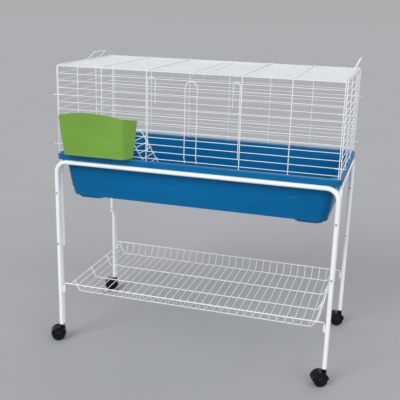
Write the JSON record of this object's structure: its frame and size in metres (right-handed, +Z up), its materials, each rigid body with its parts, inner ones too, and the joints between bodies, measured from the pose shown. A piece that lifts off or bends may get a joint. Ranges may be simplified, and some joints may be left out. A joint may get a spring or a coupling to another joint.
{
  "type": "rabbit cage on a wheeled stand",
  "caption": "Indoor rabbit cage with a white wire top, blue plastic tray, green hay rack and wire ramp, on a white tubular stand with a wire shelf and casters.",
  "frame": {"origin": "on the floor under the middle of the whole part's bounding box", "axes": "+X along the cage to the right seen from the front, +Y to the back, +Z up"},
  "size_m": [1.0738, 0.5852, 1.0943],
  "materials": {
    "white_paint": "gloss",
    "blue_plastic": "gloss",
    "green_plastic": "gloss",
    "black_plastic": "satin",
    "bright_steel": "satin"
  },
  "bodies": {
    "stand": {"front_frame": "white_paint", "rear_frame": "white_paint", "left_end_frame": "white_paint", "right_end_frame": "white_paint", "shelf_sockets": "white_paint"},
    "shelf": {"shelf_rims": "white_paint", "shelf_runners": "white_paint", "shelf_end_wires": "white_paint", "shelf_cross_wires": "white_paint"},
    "tray": {"tray": "blue_plastic"},
    "wire_top": {"front_panel_rails": "white_paint", "front_panel_uprights": "white_paint", "left_panel_rails": "white_paint", "left_panel_uprights": "white_paint", "rear_panel_rails": "white_paint", "rear_panel_uprights": "white_paint", "right_panel_rails": "white_paint", "right_panel_uprights": "white_paint", "roof_panel_cross_wires": "white_paint", "roof_panel_rails": "white_paint", "corner_hooks": "white_paint"},
    "front_door": {"front_door_rails": "white_paint", "front_door_edges": "white_paint"},
    "front_latch": {"front_door_latch": "white_paint"},
    "roof_door": {"roof_door_rails": "white_paint", "roof_door_edges": "white_paint"},
    "roof_latch": {"roof_door_latch": "white_paint"},
    "left_handle": {"left_handle": "white_paint"},
    "right_handle": {"right_handle": "white_paint"},
    "hay_rack": {"hay_rack": "green_plastic"},
    "ramp": {"ramp_sides": "white_paint", "ramp_rungs": "white_paint"},
    "front_left_caster": {"front_left_caster_hood": "black_plastic", "front_left_caster_stem": "bright_steel", "front_left_caster_axle": "bright_steel"},
    "front_left_inner_wheel": {"front_left_inner_wheel": "black_plastic"},
    "front_left_outer_wheel": {"front_left_outer_wheel": "black_plastic"},
    "front_right_caster": {"front_right_caster_hood": "black_plastic", "front_right_caster_stem": "bright_steel", "front_right_caster_axle": "bright_steel"},
    "front_right_inner_wheel": {"front_right_inner_wheel": "black_plastic"},
    "front_right_outer_wheel": {"front_right_outer_wheel": "black_plastic"},
    "rear_left_caster": {"rear_left_caster_hood": "black_plastic", "rear_left_caster_stem": "bright_steel", "rear_left_caster_axle": "bright_steel"},
    "rear_left_inner_wheel": {"rear_left_inner_wheel": "black_plastic"},
    "rear_left_outer_wheel": {"rear_left_outer_wheel": "black_plastic"},
    "rear_right_caster": {"rear_right_caster_hood": "black_plastic", "rear_right_caster_stem": "bright_steel", "rear_right_caster_axle": "bright_steel"},
    "rear_right_inner_wheel": {"rear_right_inner_wheel": "black_plastic"},
    "rear_right_outer_wheel": {"rear_right_outer_wheel": "black_plastic"}
  },
  "joints": [
    {"name": "front_left_swivel", "type": "hinge", "parent": "stand", "child": "front_left_caster", "pos_m": [-0.48837, -0.23033, 0.065], "axis": [0, 0, 1], "continuous": true},
    {"name": "front_left_inner_wheel_spin", "type": "hinge", "parent": "front_left_caster", "child": "front_left_inner_wheel", "pos_m": [-0.5025, -0.23784, 0.025], "axis": [0.4695, -0.8829, 0], "continuous": true},
    {"name": "front_left_outer_wheel_spin", "type": "hinge", "parent": "front_left_caster", "child": "front_left_outer_wheel", "pos_m": [-0.5025, -0.23784, 0.025], "axis": [0.4695, -0.8829, 0], "continuous": true},
    {"name": "front_right_swivel", "type": "hinge", "parent": "stand", "child": "front_right_caster", "pos_m": [0.51663, -0.23033, 0.065], "axis": [0, 0, 1], "continuous": true},
    {"name": "front_right_inner_wheel_spin", "type": "hinge", "parent": "front_right_caster", "child": "front_right_inner_wheel", "pos_m": [0.5025, -0.23784, 0.025], "axis": [0.4695, -0.8829, 0], "continuous": true},
    {"name": "front_right_outer_wheel_spin", "type": "hinge", "parent": "front_right_caster", "child": "front_right_outer_wheel", "pos_m": [0.5025, -0.23784, 0.025], "axis": [0.4695, -0.8829, 0], "continuous": true},
    {"name": "rear_left_swivel", "type": "hinge", "parent": "stand", "child": "rear_left_caster", "pos_m": [-0.48837, 0.26967, 0.065], "axis": [0, 0, 1], "continuous": true},
    {"name": "rear_left_inner_wheel_spin", "type": "hinge", "parent": "rear_left_caster", "child": "rear_left_inner_wheel", "pos_m": [-0.5025, 0.26216, 0.025], "axis": [0.4695, -0.8829, 0], "continuous": true},
    {"name": "rear_left_outer_wheel_spin", "type": "hinge", "parent": "rear_left_caster", "child": "rear_left_outer_wheel", "pos_m": [-0.5025, 0.26216, 0.025], "axis": [0.4695, -0.8829, 0], "continuous": true},
    {"name": "rear_right_swivel", "type": "hinge", "parent": "stand", "child": "rear_right_caster", "pos_m": [0.51663, 0.26967, 0.065], "axis": [0, 0, 1], "continuous": true},
    {"name": "rear_right_inner_wheel_spin", "type": "hinge", "parent": "rear_right_caster", "child": "rear_right_inner_wheel", "pos_m": [0.5025, 0.26216, 0.025], "axis": [0.4695, -0.8829, 0], "continuous": true},
    {"name": "rear_right_outer_wheel_spin", "type": "hinge", "parent": "rear_right_caster", "child": "rear_right_outer_wheel", "pos_m": [0.5025, 0.26216, 0.025], "axis": [0.4695, -0.8829, 0], "continuous": true},
    {"name": "shelf_lift", "type": "slide", "parent": "stand", "child": "shelf", "axis": [0, 0, 1], "range_m": [0, 0.06]},
    {"name": "tray_lift", "type": "slide", "parent": "stand", "child": "tray", "axis": [0, 0, 1], "range_m": [0, 0.25]},
    {"name": "top_lift", "type": "slide", "parent": "tray", "child": "wire_top", "axis": [0, 0, 1], "range_m": [0, 0.35]},
    {"name": "front_door_swing", "type": "hinge", "parent": "wire_top", "child": "front_door", "pos_m": [0.01413, -0.21823, 1.0181], "axis": [-1, 0, 0], "range_deg": [0, 150]},
    {"name": "front_latch_slide", "type": "slide", "parent": "front_door", "child": "front_latch", "axis": [0, 0, 1], "range_m": [0, 0.012]},
    {"name": "roof_door_swing", "type": "hinge", "parent": "wire_top", "child": "roof_door", "pos_m": [0.01413, 0.20719, 1.04547], "axis": [-1, 0, 0], "range_deg": [0, 110]},
    {"name": "roof_latch_slide", "type": "slide", "parent": "roof_door", "child": "roof_latch", "axis": [0, -1, 0], "range_m": [0, 0.007]},
    {"name": "left_handle_swing", "type": "hinge", "parent": "wire_top", "child": "left_handle", "pos_m": [-0.47687, 0.04467, 1.04807], "axis": [0, -1, 0], "range_deg": [-35, 155]},
    {"name": "right_handle_swing", "type": "hinge", "parent": "wire_top", "child": "right_handle", "pos_m": [0.50513, 0.11968, 1.04807], "axis": [0, 1, 0], "range_deg": [-105, 85]},
    {"name": "hay_rack_lift", "type": "slide", "parent": "wire_top", "child": "hay_rack", "axis": [0, 0, 1], "range_m": [0, 0.015]},
    {"name": "ramp_lift", "type": "slide", "parent": "wire_top", "child": "ramp", "axis": [0, 0, 1], "range_m": [0, 0.015]}
  ]
}
